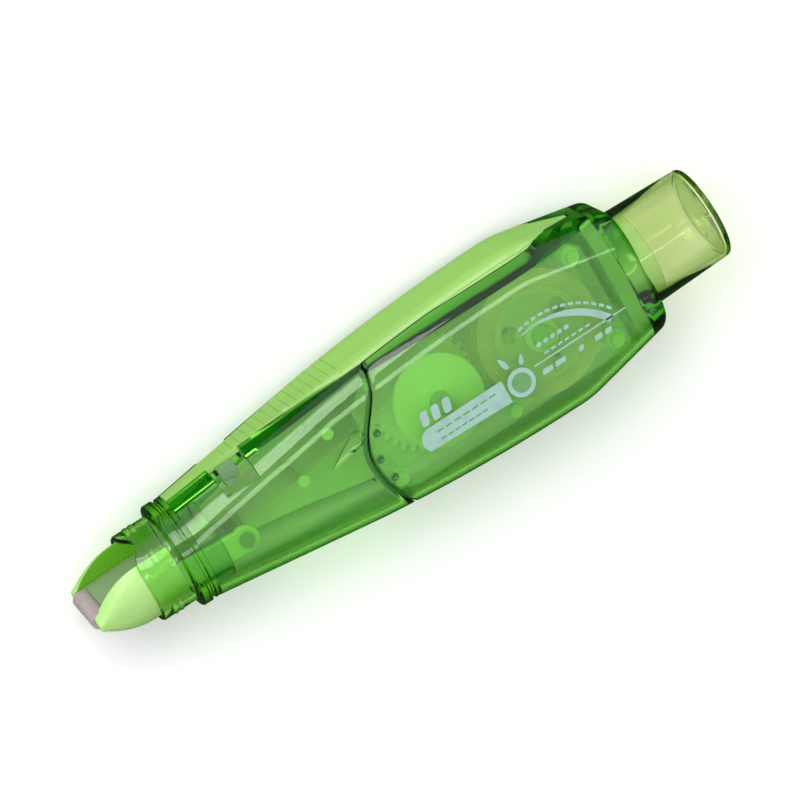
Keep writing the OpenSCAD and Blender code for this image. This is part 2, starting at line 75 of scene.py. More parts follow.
TIP_X = cad_box[0][0] / MM
CAP_END_X = cad_box[1][0] / MM
NECK_FRONT_X = span("nose_collar")[0]
FLANGE_FRONT_X = TIP_X + 19.4
CASING_FRONT_X = span("front_casing")[0]
CAP_MOUTH_X = span("cap")[0]
SOCKET_X = CAP_MOUTH_X - 0.1
CASING_REAR_X = span("rear_casing")[1]
STUB_END_X = span("end_plug")[1]
STRAIGHT_END_X = TIP_X + 60.5
CROWN_X = TIP_X + 98.5
HOOD_X = TIP_X + 101.5
FALL_X = TIP_X + 102.5
BULKHEAD_X = span("end_plug")[0]
TONGUE_X = TIP_X + 114.3
RAIL_X = TIP_X + 67.0
WINDOW_X = TIP_X + 35.8
TAKEUP_X = 0.5 * sum(span("takeup_disc"))
SUPPLY_X = 0.5 * sum(span("supply_tape"))
REEL_Y = 0.5 * sum(span("supply_tape", 1))
WALL = 1.3
SPINE_DEPTH = 1.3
GAP = 0.15
SEAM_GAP = 0.3
NECK_R = 8.95
CAP_MOUTH_R = 9.9
CAP_END_R = 9.25
CAP_WALL = 0.65
TIP_TURN = math.radians(21.0)
CHEEK_IN = 4.35
# edges of the painted shade in the tip's slot, in mm from the tip's middle plane
SLOT_SHADE_SIDES = (4.36, 4.42)
ROLLER_X = 0.5 * sum(span("tip_roller"))
DECK_Y = (11.8, 12.5)
SHOULDER_Y = 15.0
STRIP_SIDES = ((CASING_FRONT_X - 5, 1.9), (TIP_X + 36, 3.0), (TIP_X + 50, 5.2), (TIP_X + 62, 7.5),
               (TIP_X + 65.2, 7.7), (TIP_X + 65.6, 8.8), (HOOD_X, 8.8))
RAIL_SIDES = ((RAIL_X - 3, 7.5), (HOOD_X, 7.5))
FLANGE_LINE = 7.75


def clamp(v, low=0.0, high=1.0):
    return min(high, max(low, v))


# ------------------------------------------------------------------ the body's outline
FRONT_SLOPE, REAR_SLOPE = 0.111, 0.22
FRONT_HALF_HEIGHT = 10.5
STRAIGHT_RISE = FRONT_SLOPE * (STRAIGHT_END_X - CASING_FRONT_X)
CROWN_HALF_HEIGHT = FRONT_HALF_HEIGHT + STRAIGHT_RISE + FRONT_SLOPE * (CROWN_X - STRAIGHT_END_X) / 2


def half_height(x):
    """Half height of the body's section: a straight rise, a crown and a fall."""
    if x < STRAIGHT_END_X:
        return FRONT_HALF_HEIGHT + FRONT_SLOPE * (x - CASING_FRONT_X)
    if x < CROWN_X:
        return CROWN_HALF_HEIGHT - FRONT_SLOPE * (CROWN_X - x) ** 2 / (2 * (CROWN_X - STRAIGHT_END_X))
    if x < FALL_X:
        return CROWN_HALF_HEIGHT - REAR_SLOPE * (x - CROWN_X) ** 2 / (2 * (FALL_X - CROWN_X))
    return CROWN_HALF_HEIGHT - REAR_SLOPE * (FALL_X - CROWN_X) / 2 - REAR_SLOPE * (x - FALL_X)


def roundness(x):
    """1 at the round flange, 0 where the section has become a rounded box."""
    return clamp((TIP_X + 56.5 - x) / 33.0)


def half_depth(x):
    """Half thickness, a little less towards the flange."""
    return HALF_THICK - 0.3 * clamp((TIP_X + 43.5 - x) / 20.0)


def corner_y(x):
    return 8.0 + 2.2 * roundness(x)


def corner_z(x):
    return 6.5 + 3.9 * roundness(x)


CORNER_STEPS, BROAD_STEPS, SIDE_STEPS = 14, 12, 6
CREASE = math.radians(38)


def section(x, inset=0.0, top=None):
    """Points (y, z) round the body's section at x, cut level at y = top."""
    h, t = half_height(x) - inset, half_depth(x) - inset
    ry, rz = corner_y(x) - inset, corner_z(x) - inset
    start = 0.0 if top is None or top >= h else math.acos((top - (h - ry)) / ry)
    corners = []
    for q in range(4):
        a0, a1 = math.pi / 2 * q, math.pi / 2 * (q + 1)
        a0 = start if q == 0 else a0
        a1 = 2 * math.pi - start if q == 3 else a1
        sy = 1 if q in (0, 3) else -1
        sz = 1 if q < 2 else -1
        arc = [a0 + (a1 - a0) * k / CORNER_STEPS for k in range(CORNER_STEPS + 1)]
        corners.append([(sy * (h - ry) + ry * math.cos(a), sz * (t - rz) + rz * math.sin(a))
                        for a in arc])
    ring = []
    for q in range(4):
        ring += corners[q]
        (y0, z0), (y1, z1) = corners[q][-1], corners[(q + 1) % 4][0]
        steps = BROAD_STEPS if q in (0, 2) else SIDE_STEPS
        ring += [(y0 + (y1 - y0) * k / steps, z0 + (z1 - z0) * k / steps) for k in range(1, steps)]
    return ring


SEAM_LOW_Y, SEAM_LOW_X = -2.6, TIP_X + 58.0


def seam_x(y):
    """X of the wavy seam between the casings, at height y."""
    if y > SEAM_LOW_Y:
        return SEAM_LOW_X + 3.8 * (1 - math.cos(math.pi * clamp((y - SEAM_LOW_Y) / 16.3)))
    return SEAM_LOW_X + 3.75 * ((SEAM_LOW_Y - y) / 11.2) ** 2


def seam_ring(x0, f, inset, top, shift=0.0):
    """A ring of the body a part f of the way from x0 to the seam, as (x, y, z) points."""
    guess = -7.0
    at = [guess] * len(section(guess, inset, top(guess)))
    for _ in range(4):
        at = [seam_x(section(x, inset, top(x))[i][0]) for i, x in enumerate(at)]
    ring = []
    for i, xs in enumerate(at):
        x = x0 + f * (xs + shift - x0)
        y, z = section(x, inset, top(x))[i]
        ring.append((x, y, z))
    return ring


def body_ring(x, inset=0.0, top=None):
    return [(x, y, z) for y, z in section(x, inset, top)]


# ------------------------------------------------------------------ mesh helpers
def place(p):
    """A point in mm about the pen's axis as a vector in metres in the frame."""
    return Vector((p[0] * MM, p[1] * MM, (p[2] + AXIS_Z) * MM))


def link(name, mesh):
    obj = bpy.data.objects.new(name, mesh)
    bpy.context.scene.collection.objects.link(obj)
    return obj


def shade(mesh):
    """Smooth shading, with the edges sharper than CREASE kept crisp."""
    mesh.shade_smooth()
    mesh.set_sharp_from_angle(angle=CREASE)


def make(name, points, faces, smooth=True):
    """A mesh object from points in mm."""
    mesh = bpy.data.meshes.new(name)
    mesh.from_pydata([place(p) for p in points], [], faces)
    bm = bmesh.new()
    bm.from_mesh(mesh)
    bmesh.ops.remove_doubles(bm, verts=bm.verts, dist=1e-7)
    bmesh.ops.recalc_face_normals(bm, faces=bm.faces)
    bm.to_mesh(mesh)
    bm.free()
    if smooth:
        shade(mesh)
    return link(name, mesh)


def loft(rings, loop=False):
    """Points and faces of a skin through rings; a loop joins the last ring to the first."""
    n, m = len(rings[0]), len(rings)
    faces = []
    for k in range(m if loop else m - 1):
        p, q = k * n, ((k + 1) % m) * n
        faces += [(p + i, q + i, q + (i + 1) % n, p + (i + 1) % n) for i in range(n)]
    if not loop:
        faces += [tuple(range(n)), tuple(range(m * n - 1, (m - 1) * n - 1, -1))]
    return [p for ring in rings for p in ring], faces


def lathe(profile, steps=160, bend=None):
    """A closed profile of (r, x) points turned about the pen's axis; bend moves a finished point."""
    rings = []
    for k in range(steps):
        a = 2 * math.pi * k / steps
        ring = [(x, r * math.cos(a), r * math.sin(a)) for r, x in profile]
        rings.append([bend(p, a) for p in ring] if bend else ring)
    return loft(rings, loop=True)


def prism(outline, z0, z1):
    """An outline of (x, y) points raised from z0 to z1."""
    n = len(outline)
    points = [(x, y, z0) for x, y in outline] + [(x, y, z1) for x, y in outline]
    faces = [(i, (i + 1) % n, n + (i + 1) % n, n + i) for i in range(n)]
    return points, faces + [tuple(range(n - 1, -1, -1)), tuple(range(n, 2 * n))]


def box_outline(x0, x1, y0, y1):
    """A rectangle as an outline for prism()."""
    return [(x0, y0), (x1, y0), (x1, y1), (x0, y1)]


def turned_bump(x, y, z, profile, steps=32):
    """A small round feature standing on z: its profile is a list of (r, height), rim first."""
    points, faces = [], []
    for r, up in profile:
        points += [(x + r * math.cos(t), y + r * math.sin(t), z + up)
                   for t in (2 * math.pi * i / steps for i in range(steps))]
    for k in range(len(profile) - 1):
        faces += [(k * steps + i, k * steps + (i + 1) % steps,
                   (k + 1) * steps + (i + 1) % steps, (k + 1) * steps + i) for i in range(steps)]
    last = (len(profile) - 1) * steps
    return points, faces + [tuple(range(steps - 1, -1, -1)), tuple(range(last, last + steps))]


def apply_modifiers(obj):
    deps = bpy.context.evaluated_depsgraph_get()
    mesh = bpy.data.meshes.new_from_object(obj.evaluated_get(deps))
    obj.modifiers.clear()
    obj.data = mesh


WELD = 2e-6


def combine(obj, other, how):
    """Applies a boolean of obj with other, deletes other, and welds the points that fall together."""
    m = obj.modifiers.new("combine", "BOOLEAN")
    m.operation, m.object, m.solver = how, other, "EXACT"
    apply_modifiers(obj)
    bpy.data.objects.remove(other)
    bm = bmesh.new()
    bm.from_mesh(obj.data)
    bmesh.ops.remove_doubles(bm, verts=bm.verts, dist=WELD)
    bmesh.ops.dissolve_degenerate(bm, edges=bm.edges, dist=0.5 * WELD)
    bm.to_mesh(obj.data)
    bm.free()


def cut(obj, *cutters):
    """Takes cutters out of obj and deletes them."""
    for cutter in cutters:
        combine(obj, cutter, "DIFFERENCE")


def join_in(obj, *others):
    """Adds others to obj and deletes them."""
    for other in others:
        combine(obj, other, "UNION")


def soften(obj, width, angle=35.0, segments=3):
    """Rounds the sharp edges of a finished piece."""
    m = obj.modifiers.new("soften", "BEVEL")
    m.width, m.segments, m.limit_method = width * MM, segments, "ANGLE"
    m.angle_limit, m.harden_normals = math.radians(angle), True
    m.miter_outer = "MITER_ARC"
    obj.data.shade_smooth()


def finish_piece(obj, body, material, slot=None, *stands_for):
    """Gives a piece its material, the CAD nodes it stands for and its body. The slot argument is not
    used.
    """
    obj.data.materials.clear()
    obj.data.materials.append(material)
    if stands_for:
        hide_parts(*stands_for)
    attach(obj, body)
    return obj


# ------------------------------------------------------------------ materials
def srgb(r, g, b):
    """Linear colour from 0-255 display values."""
    def one(c):
        c /= 255.0
        return c / 12.92 if c <= 0.04045 else ((c + 0.055) / 1.055) ** 2.4
    return (one(r), one(g), one(b), 1.0)


class Nodes:
    """A material's node tree, with short calls for what these plastics need."""

    def __init__(self, name):
        self.mat = bpy.data.materials.new(name)
        self.mat.use_nodes = True
        self.tree = self.mat.node_tree
        self.tree.nodes.clear()
        self.out = self.add("ShaderNodeOutputMaterial")
        self.coords = self.add("ShaderNodeTexCoord").outputs["Object"]

    def add(self, kind, **values):
        node = self.tree.nodes.new(kind)
        for key, value in values.items():
            if hasattr(node, key):
                setattr(node, key, value)
        return node

    def link(self, a, b):
        self.tree.links.new(a, b)

    def scaled(self, scale):
        m = self.add("ShaderNodeMapping")
        m.inputs["Scale"].default_value = scale
        self.link(self.coords, m.inputs["Vector"])
        return m.outputs["Vector"]

    def noise(self, scale, detail=3.0, stretch=(1, 1, 1), rough=0.5):
        n = self.add("ShaderNodeTexNoise")
        n.inputs["Scale"].default_value = scale
        n.inputs["Detail"].default_value = detail
        n.inputs["Roughness"].default_value = rough
        self.link(self.scaled(stretch), n.inputs["Vector"])
        return n.outputs["Fac"]

    def remap(self, value, low, high, frm=0.35, to=0.65):
        m = self.add("ShaderNodeMapRange")
        m.inputs["From Min"].default_value, m.inputs["From Max"].default_value = frm, to
        m.inputs["To Min"].default_value, m.inputs["To Max"].default_value = low, high
        self.link(value, m.inputs["Value"])
        return m.outputs["Result"]

    def math(self, op, a, b):
        m = self.add("ShaderNodeMath", operation=op)
        for socket, v in zip(m.inputs, (a, b)):
            if isinstance(v, (int, float)):
                socket.default_value = v
            else:
                self.link(v, socket)
        return m.outputs[0]

    def mix(self, fac, a, b):
        m = self.add("ShaderNodeMix", data_type="RGBA")
        for name, v in (("Factor", fac), ("A", a), ("B", b)):
            socket = [s for s in m.inputs if s.name == name and s.enabled][0]
            if isinstance(v, (int, float, tuple)):
                socket.default_value = v
            else:
                self.link(v, socket)
        return [s for s in m.outputs if s.enabled][0]

    def bump(self, height, distance, strength=1.0, under=None):
        b = self.add("ShaderNodeBump")
        b.inputs["Distance"].default_value = distance
        b.inputs["Strength"].default_value = strength
        self.link(height, b.inputs["Height"])
        if under is not None:
            self.link(under, b.inputs["Normal"])
        return b.outputs["Normal"]

    def principled(self, **values):
        p = self.add("ShaderNodeBsdfPrincipled")
        for key, value in values.items():
            p.inputs[key.replace("_", " ")].default_value = value
        return p

    def surface(self, shader):
        self.link(shader, self.out.inputs["Surface"])
        return self.mat


def tinted(color, k):
    """The colour times k."""
    return tuple(c * k for c in color[:3]) + (1.0,)


def clear_plastic(name, surface, slant, absorbs, density, rough=0.02, ripple=0.00002, ior=1.5):
    """Polished see-through plastic: a light tint face on, a deep one where the wall is seen aslant,
    and depth that colours what crosses it."""
    n = Nodes(name)
    cloud = n.remap(n.noise(120, 2.0, (0.4, 1, 1)), 0.0, 1.0)
    p = n.principled(Transmission_Weight=1.0, IOR=ior)
    facing = n.add("ShaderNodeLayerWeight").outputs["Facing"]
    face = n.mix(cloud, surface, tinted(surface, 0.96))
    n.link(n.mix(n.remap(facing, 0.0, 1.0, 0.22, 0.7), face, slant), p.inputs["Base Color"])
    fine = n.noise(900, 3.0, (0.25, 1, 1))
    n.link(n.remap(fine, rough * 0.5, rough * 2.0), p.inputs["Roughness"])
    wave = n.bump(n.noise(90, 1.0, (0.3, 1, 1)), ripple * 4, 0.6)
    n.link(n.bump(fine, ripple, 0.35, wave), p.inputs["Normal"])
    through = n.add("ShaderNodeBsdfTransparent")
    through.inputs["Color"].default_value = tuple(c ** 0.3 for c in surface[:3]) + (1.0,)
    path = n.add("ShaderNodeLightPath")
    fac = n.math("MAXIMUM", path.outputs["Is Shadow Ray"], path.outputs["Is Diffuse Ray"])
    m = n.add("ShaderNodeMixShader")
    n.link(fac, m.inputs[0])
    n.link(p.outputs[0], m.inputs[1])
    n.link(through.outputs[0], m.inputs[2])
    depth = n.add("ShaderNodeVolumeAbsorption")
    depth.inputs["Color"].default_value = absorbs
    depth.inputs["Density"].default_value = density
    n.link(depth.outputs[0], n.out.inputs["Volume"])
    return n.surface(m.outputs[0])


def film(name, color, open_share, rough=0.25):
    """A thin clear part or film: part of it lets what is behind through."""
    n = Nodes(name)
    fine = n.noise(700, 3.0, (0.2, 1, 1))
    p = n.principled(IOR=1.45)
    n.link(n.mix(n.remap(fine, 0.0, 0.6), color, tinted(color, 0.88)), p.inputs["Base Color"])
    n.link(n.remap(fine, rough * 0.7, rough * 1.4), p.inputs["Roughness"])
    n.link(n.bump(fine, 0.00001, 0.4), p.inputs["Normal"])
    through = n.add("ShaderNodeBsdfTransparent")
    through.inputs["Color"].default_value = tuple(c ** 0.35 for c in color[:3]) + (1.0,)
    m = n.add("ShaderNodeMixShader")
    m.inputs[0].default_value = open_share
    n.link(p.outputs[0], m.inputs[1])
    n.link(through.outputs[0], m.inputs[2])
    return n.surface(m.outputs[0])


def solid_plastic(name, color, rough=0.3, grain=0.000008, glow=0.15, worn=0.12, slot_shade=None):
    """Opaque moulded plastic with faint flow marks, fine grain and paler rubbed edges. With a slot_shade
    colour, what lies between the cheeks of the tip gets a painted shade, a deeper green."""
    n = Nodes(name)
    flow = n.noise(70, 2.0, (0.35, 1, 1))
    fine = n.noise(1400, 4.0)
    base = n.mix(n.remap(flow, 0.0, 1.0), tinted(color, 0.93), tinted(color, 1.05))
    edge = n.add("ShaderNodeNewGeometry").outputs["Pointiness"]
    base = n.mix(n.remap(edge, 0.0, worn, 0.52, 0.60), base, (0.9, 0.95, 0.85, 1.0))
    # painted shade: the slot between the tip's cheeks is coloured a deeper green
    if slot_shade:
        across = n.add("ShaderNodeVectorMath", operation="DOT_PRODUCT")
        across.inputs[1].default_value = (0.0, -math.sin(TIP_TURN), math.cos(TIP_TURN))
        n.link(n.coords, across.inputs[0])
        level = n.math("SUBTRACT", across.outputs["Value"], AXIS_Z * MM * math.cos(TIP_TURN))
        off = n.math("ABSOLUTE", level, 0.0)
        base = n.mix(n.remap(off, 1.0, 0.0, SLOT_SHADE_SIDES[0] * MM, SLOT_SHADE_SIDES[1] * MM), base, slot_shade)
    p = n.principled(IOR=1.5, Subsurface_Weight=glow, Subsurface_Scale=0.002)
    p.inputs["Subsurface Radius"].default_value = (0.5, 1.0, 0.3)
    n.link(base, p.inputs["Base Color"])
    n.link(n.remap(fine, rough * 0.8, rough * 1.25), p.inputs["Roughness"])
    n.link(n.bump(fine, grain, 0.3, n.bump(flow, grain, 0.3)), p.inputs["Normal"])
    return n.surface(p.outputs[0])


def wound_film(name, color, dark, pitch):
    """The side of a wound tape: fine rings about the reel's post, and patches where gloss and tone vary.
    """
    n = Nodes(name)
    shift = n.add("ShaderNodeMapping")
    centre = SUPPLY_X if "supply" in name else TAKEUP_X
    shift.inputs["Location"].default_value = (-centre * MM, -REEL_Y * MM, 0)
    n.link(n.coords, shift.inputs["Vector"])
    split = n.add("ShaderNodeSeparateXYZ")
    n.link(shift.outputs["Vector"], split.inputs[0])
    rr = n.math("ADD", n.math("MULTIPLY", split.outputs[0], split.outputs[0]),
                n.math("MULTIPLY", split.outputs[1], split.outputs[1]))
    radius = n.math("SQRT", rr, 0.0)
    turns = n.math("MULTIPLY", radius, 2 * math.pi / pitch)
    ring = n.math("SINE", turns, 0.0)
    patch = n.noise(160, 3.0)
    share = n.math("MULTIPLY_ADD", ring, 0.22)
    share.node.inputs[2].default_value = 0.3
    base = n.mix(share, color, dark)
    base = n.mix(n.remap(patch, 0.0, 0.45), base, tinted(dark, 0.9))
    p = n.principled(IOR=1.46)
    n.link(base, p.inputs["Base Color"])
    n.link(n.remap(patch, 0.25, 0.42), p.inputs["Roughness"])
    n.link(n.bump(ring, 0.00003, 0.6), p.inputs["Normal"])
    return n.surface(p.outputs[0])


def metal(name, color):
    """Drawn steel."""
    n = Nodes(name)
    fine = n.noise(2200, 3.0, (1, 1, 0.08))
    p = n.principled(Metallic=1.0)
    n.link(n.mix(n.remap(fine, 0.0, 1.0), color, tinted(color, 0.75)), p.inputs["Base Color"])
    n.link(n.remap(fine, 0.18, 0.38), p.inputs["Roughness"])
    n.link(n.bump(fine, 0.000005, 0.5), p.inputs["Normal"])
    return n.surface(p.outputs[0])


def rubber(name, color, rough=0.7, grain=0.00004):
    """Matt rubber with a fine grain."""
    n = Nodes(name)
    fine = n.noise(1800, 5.0)
    p = n.principled(IOR=1.45)
    n.link(n.mix(n.remap(fine, 0.0, 1.0), color, tinted(color, 0.7)), p.inputs["Base Color"])
    n.link(n.remap(fine, rough * 0.85, rough * 1.1), p.inputs["Roughness"])
    n.link(n.bump(fine, grain, 0.6), p.inputs["Normal"])
    return n.surface(p.outputs[0])


def ink(name, color):
    """Printing ink, a little worn in places."""
    n = Nodes(name)
    fine = n.noise(2600, 4.0)
    worn = n.noise(420, 5.0)
    p = n.principled(IOR=1.45)
    n.link(n.mix(n.remap(worn, 0.0, 1.0, 0.45, 0.7), color, tinted(color, 0.86)), p.inputs["Base Color"])
    n.link(n.remap(fine, 0.35, 0.6), p.inputs["Roughness"])
    n.link(n.bump(fine, 0.000008, 0.5), p.inputs["Normal"])
    return n.surface(p.outputs[0])


CASING = clear_plastic("casing_green", surface=(0.91, 0.985, 0.86, 1), slant=(0.06, 0.26, 0.02, 1),
                       absorbs=(0.42, 0.80, 0.11, 1), density=650)
PALE = clear_plastic("pale_clear_green", surface=(0.96, 0.97, 0.88, 1), slant=(0.28, 0.44, 0.14, 1),
                     absorbs=(0.64, 0.79, 0.13, 1), density=520, ripple=0.000006)
NECK = clear_plastic("neck_green", surface=(0.82, 0.96, 0.72, 1), slant=(0.10, 0.32, 0.05, 1),
                     absorbs=(0.50, 0.80, 0.14, 1), density=640)
SPINE = solid_plastic("spine_green", srgb(140, 190, 92), 0.4)
# painted shade: the latch hooks are the spine's plastic, made darker as they sit in shade inside the
# windows
SHADED_HOOK = solid_plastic("hook_painted_shade", srgb(48, 116, 34), 0.25, glow=0.1)
DISC = solid_plastic("disc_green", (0.80, 0.98, 0.60, 1), 0.3)
# the tip's last colour is painted shade for the slot between its cheeks
TIP = solid_plastic("tip_green", srgb(166, 210, 124), 0.3, glow=0.25, slot_shade=srgb(98, 168, 34))
FRAME = film("frame_green", (0.62, 0.90, 0.46, 1), 0.3)
LIP = film("lip_green", (0.07, 0.26, 0.05, 1), 0.4, 0.2)
BUMP = film("bump_green", (0.06, 0.22, 0.05, 1), 0.35, 0.2)
PIN = solid_plastic("pin_green_grey", srgb(92, 138, 66), 0.35)
PLUG = film("plug_pale_green", (0.58, 0.80, 0.42, 1), 0.6, 0.2)
COVER = film("cover_clear", (0.85, 0.95, 0.80, 1), 0.82, 0.12)
NATURAL = solid_plastic("natural_acetal", (0.82, 0.81, 0.76, 1), 0.35)
FLANGE = film("flange_clear", (0.90, 0.84, 0.84, 1), 0.62, 0.15)
SUPPLY_TAPE = wound_film("supply_tape_wound", (0.84, 0.60, 0.50, 1), (0.50, 0.29, 0.22, 1), 0.0006)
TAKEUP_TAPE = wound_film("takeup_tape_wound", (0.75, 0.72, 0.62, 1), (0.5, 0.47, 0.38, 1), 0.0004)
FREE_TAPE = film("free_tape", (0.76, 0.74, 0.70, 1), 0.88, 0.2)
ROLLER = rubber("roller_grey", srgb(188, 168, 178), 0.5)
CLUTCH = rubber("clutch_rubber", (0.05, 0.06, 0.05, 1))
STEEL = metal("pin_steel", (0.62, 0.62, 0.64, 1))
PRINT = ink("print_white", srgb(148, 182, 172))
PRINT_DARK = ink("print_shade", srgb(96, 150, 92))


# ------------------------------------------------------------------ casings
RIM = 0.3
SHARES = [k / 40 for k in range(41)]


def strip_half(sides, x):
    """Half width of the spine strip or its rail at x, drawing in to the tongue under the hood."""
    for (x0, w0), (x1, w1) in zip(sides, sides[1:]):
        if x <= x1:
            return w0 + (w1 - w0) * clamp((x - x0) / (x1 - x0))
    return sides[-1][1] + (0.5 - sides[-1][1]) * clamp((x - HOOD_X) / (TONGUE_X - HOOD_X))


def strip_prism(sides, less, y_low, y_high=21.0):
    """A closed block over the strip's plan, from y_low(x) up to y_high, which is past the crown."""
    x0 = sides[0][0]
    stations = sorted({x0 + (HOOD_X - x0) * k / 48 for k in range(49)} | {x for x, w in sides})
    stations += [HOOD_X + (TONGUE_X - less * 3 - HOOD_X) * k / 8 for k in range(1, 9)]
    rings = []
    for x in stations:
        w = max(0.25, strip_half(sides, x) - less)
        rings.append([(x, y_low(x), -w), (x, y_low(x), w), (x, y_high, w), (x, y_high, -w)])
    return loft(rings)


def front_casing_shell():
    """Front half of the casing: a groove for the spine, a latch window in each side, a finger dent."""
    whole = lambda x: None
    level = lambda d: (lambda x: half_height(x) - SPINE_DEPTH - d)
    outer = [seam_ring(CASING_FRONT_X, f, 0.0, whole, -RIM * f) for f in SHARES]
    inner = [seam_ring(CASING_FRONT_X, f, WALL, level(WALL), -RIM * f) for f in reversed(SHARES)]
    edge = [seam_ring(CASING_FRONT_X, 1.0, d, t, -RIM + s)
            for d, s, t in ((0.09, 0.21, whole), (RIM, RIM, whole), (WALL - RIM, RIM, level(WALL - RIM)),
                            (WALL - 0.09, 0.21, level(WALL - 0.09)))]
    obj = make("front_casing_shell", *loft(outer + edge + inner, loop=True))
    cutters = [make("groove", *strip_prism(STRIP_SIDES, 0.0, edge_y))]
    window = box_outline(WINDOW_X - 3.5, WINDOW_X + 3.5, 6.9, 14)
    for side in (-1, 1):
        low, high = sorted((side * 2.5, side * 12.0))
        cutters.append(make("window", *prism(window, low, high), smooth=False))
        levels = ((0.5, 1.1), (-0.15, 0.95), (-0.5, 0.75), (-0.85, 0.35))
        cutters.append(make("dent", *loft([dent_ring(side, HALF_THICK + up, share)
                                           for up, share in levels])))
    cut(obj, *cutters)
    shade(obj.data)
    return finish_piece(obj, "front_casing", CASING, "green_casing", "front_casing")


def teardrop(x0, y0, x1, y1, r, steps=32):
    """A round end of radius r at (x0, y0) that runs out to a narrow end at (x1, y1)."""
    lean, length = math.atan2(y1 - y0, x1 - x0), math.hypot(x1 - x0, y1 - y0)
    points = []
    for k in range(steps):
        a = 2 * math.pi * k / steps
        along = r * math.cos(a) if math.cos(a) < 0 else length * math.cos(a)
        across = r * math.sin(a) * (1 if math.cos(a) < 0 else 1 - 0.55 * math.cos(a))
        points.append((x0 + along * math.cos(lean) - across * math.sin(lean),
                       y0 + along * math.sin(lean) + across * math.cos(lean)))
    return points


def dent_ring(side, z, share):
    """The finger dent's outline at height z, drawn in to a share of its size."""
    return [(-13.2 + share * (x + 13.2), 2.4 + share * (y - 2.4), side * z)
            for x, y in teardrop(-10.6, 3.4, -17.5, 0.7, 1.6)]


def edge_y(x):
    """Lowest height of the spine strip at its edge."""
    return SHOULDER_Y if x > CROWN_X else min(SHOULDER_Y, half_height(x) - SPINE_DEPTH)


def rear_casing_shell():
    """Rear half of the casing with its hood, rounded shoulder, and the socket that takes the cap."""
    shoulder = 2.2
    flat_to = CASING_REAR_X - shoulder
    open_top, deck = (lambda x: None), (lambda x: DECK_Y[0])

    def ring(f, inset, top, x1=flat_to, lead=0.0):
        """Rings run from the seam (f = 0) to x1."""
        return seam_ring(x1, 1.0 - f, inset, top, SEAM_GAP + lead)

    outer = [ring(f, 0.0, open_top, lead=RIM) for f in SHARES]
    rounded = [body_ring(flat_to + shoulder * math.sin(a), shoulder * (1 - math.cos(a)))
               for a in (math.radians(15 * k) for k in range(1, 7))]
    mouth = [body_ring(CASING_REAR_X, 3.4), body_ring(SOCKET_X + 1, 3.4)]
    inner = [ring(f, WALL, deck, SOCKET_X, RIM) for f in reversed(SHARES)]
    edge = [ring(0.0, d, t, lead=s) for d, s, t in
            ((WALL - 0.09, 0.09, deck), (WALL - RIM, 0.0, deck),
             (RIM, 0.0, open_top), (0.09, 0.09, open_top))]
    obj = make("rear_casing_shell", *loft(outer + rounded + mouth + inner + edge, loop=True))
    bore = [(0.0, SOCKET_X), (CAP_MOUTH_R + GAP, SOCKET_X), (CAP_MOUTH_R + GAP, SOCKET_X + 8),
            (0.0, SOCKET_X + 8)]
    cut(obj, make("bore", *lathe(bore)),
        make("skin_space", *strip_prism(STRIP_SIDES, 0.0, edge_y)),
        make("rail_space", *strip_prism(RAIL_SIDES, 0.0, lambda x: DECK_Y[1])))
    shade(obj.data)
    return finish_piece(obj, "rear_casing", CASING, "green_casing", "rear_casing")


def seam_lip():
    """The front casing's thin lip inside the rear one, the dark band along the seam."""
    top = lambda d: (lambda x: half_height(x) - SPINE_DEPTH - d)
    obj = make("seam_lip", *loft([seam_ring(CASING_FRONT_X, 1.0, WALL + d, top(WALL + d), shift)
                                  for shift, d in ((-0.7, 0.06), (0.95, 0.06), (1.1, 0.14), (1.1, 0.24),
                                                   (0.95, 0.3), (-0.7, 0.3))], loop=True))
    above = box_outline(SEAM_LOW_X - 4, SEAM_LOW_X + 16, 9.4, 16)
    cut(obj, make("open", *prism(above, -14, 14), smooth=False))
    return finish_piece(obj, "front_casing", LIP, "green_casing")


def spine_strip():
    """Spine with its thumb ribs, rail and tongue."""
    stations = [CASING_FRONT_X + 0.1 + (TONGUE_X + 0.5 - CASING_FRONT_X) * k / 90 for k in range(91)]
    obj = make("spine_strip", *loft([body_ring(x) for x in stations]))
    skin = make("skin", *strip_prism(STRIP_SIDES, 0.12, lambda x: edge_y(x) + 0.12))
    sides = ((RAIL_X, RAIL_SIDES[0][1]), RAIL_SIDES[1])
    join_in(skin, make("rail", *strip_prism(sides, 0.2, lambda x: DECK_Y[1] + 0.12, 20.0)))
    combine(obj, skin, "INTERSECT")
    slope = math.atan(FRONT_SLOPE)
    ribs = []
    for k in range(15):
        x = TIP_X + 36.6 + 1.8 * k
        y = half_height(x) - 0.16
        along, up = (math.cos(slope), math.sin(slope)), (-math.sin(slope), math.cos(slope))
        v = [(-0.36, 1.6), (-0.12, 0.0), (0.12, 0.0), (0.36, 1.6)]
        outline = [(x + a * along[0] + b * up[0], y + a * along[1] + b * up[1]) for a, b in v]
        ribs.append(make("groove", *prism(outline, -10, 10), smooth=False))
    cut(obj, *ribs)
    lines = []
    for side in (-1, 1):
        x0, rings = TIP_X + 65.8, []
        for x in (x0 + (TONGUE_X - x0) * k / 30 for k in range(31)):
            z, y = FLANGE_LINE - 5 * clamp((x - HOOD_X) / (TONGUE_X - HOOD_X)), half_height(x) - 1.6
            rings.append([(x, y, side * (z - 0.14)), (x, 21.0, side * (z - 0.14)),
                          (x, 21.0, side * (z + 0.14)), (x, y, side * (z + 0.14))])
        lines.append(make("line", *loft(rings), smooth=False))
    cut(obj, *lines)
    soften(obj, 0.1, 30, 2)
    return finish_piece(obj, "front_casing", SPINE, "opaque_green", "spine_grip")


